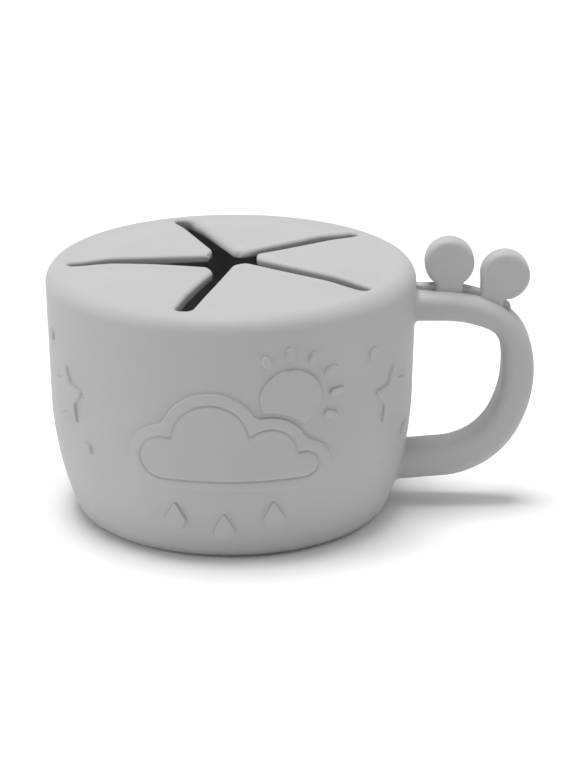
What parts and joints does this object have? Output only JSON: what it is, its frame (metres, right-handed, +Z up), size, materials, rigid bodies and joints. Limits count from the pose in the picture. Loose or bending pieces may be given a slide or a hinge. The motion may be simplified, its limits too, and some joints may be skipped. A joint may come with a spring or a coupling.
{
  "type": "toddler snack container",
  "caption": "Soft one-handled toddler snack cup with a pull-off lid whose star of slits opens to a small hand, and a D-shaped handle with two round thumb knobs.",
  "frame": {"origin": "centre of the flat base that the cup stands on", "axes": "+Z up along the cup's axis, +X out through the middle of the handle, +Y away from the side with the cloud picture"},
  "size_m": [0.1191, 0.0904, 0.0681],
  "materials": {
    "cup_silicone": "matte",
    "lid_silicone": "matte"
  },
  "bodies": {
    "cup": {"cup_shell": "cup_silicone", "handle_loop": "cup_silicone", "thumb_rail": "cup_silicone"},
    "lid": {"lid_ring": "lid_silicone"},
    "flap_1": {"flap_1": "lid_silicone"},
    "flap_2": {"flap_2": "lid_silicone"},
    "flap_3": {"flap_3": "lid_silicone"},
    "flap_4": {"flap_4": "lid_silicone"},
    "flap_5": {"flap_5": "lid_silicone"}
  },
  "joints": [
    {"name": "lid_lift", "type": "slide", "parent": "cup", "child": "lid", "axis": [0, 0, 1], "range_m": [0, 0.04]},
    {"name": "flap_1_bend", "type": "hinge", "parent": "lid", "child": "flap_1", "pos_m": [0.03161, 0.00138, 0.0611], "axis": [0.0436, -0.999, 0], "range_deg": [-50, 75], "stiffness_Nm_per_rad": 0.01},
    {"name": "flap_2_bend", "type": "hinge", "parent": "lid", "child": "flap_2", "pos_m": [0.00846, 0.03049, 0.0611], "axis": [0.9636, -0.2672, 0], "range_deg": [-50, 75], "stiffness_Nm_per_rad": 0.01},
    {"name": "flap_3_bend", "type": "hinge", "parent": "lid", "child": "flap_3", "pos_m": [-0.02638, 0.01746, 0.0611], "axis": [0.5519, 0.8339, 0], "range_deg": [-50, 75], "stiffness_Nm_per_rad": 0.01},
    {"name": "flap_4_bend", "type": "hinge", "parent": "lid", "child": "flap_4", "pos_m": [-0.02476, -0.0197, 0.0611], "axis": [-0.6225, 0.7826, 0], "range_deg": [-50, 75], "stiffness_Nm_per_rad": 0.01},
    {"name": "flap_5_bend", "type": "hinge", "parent": "lid", "child": "flap_5", "pos_m": [0.01108, -0.02963, 0.0611], "axis": [-0.9367, -0.3502, 0], "range_deg": [-50, 75], "stiffness_Nm_per_rad": 0.01}
  ]
}
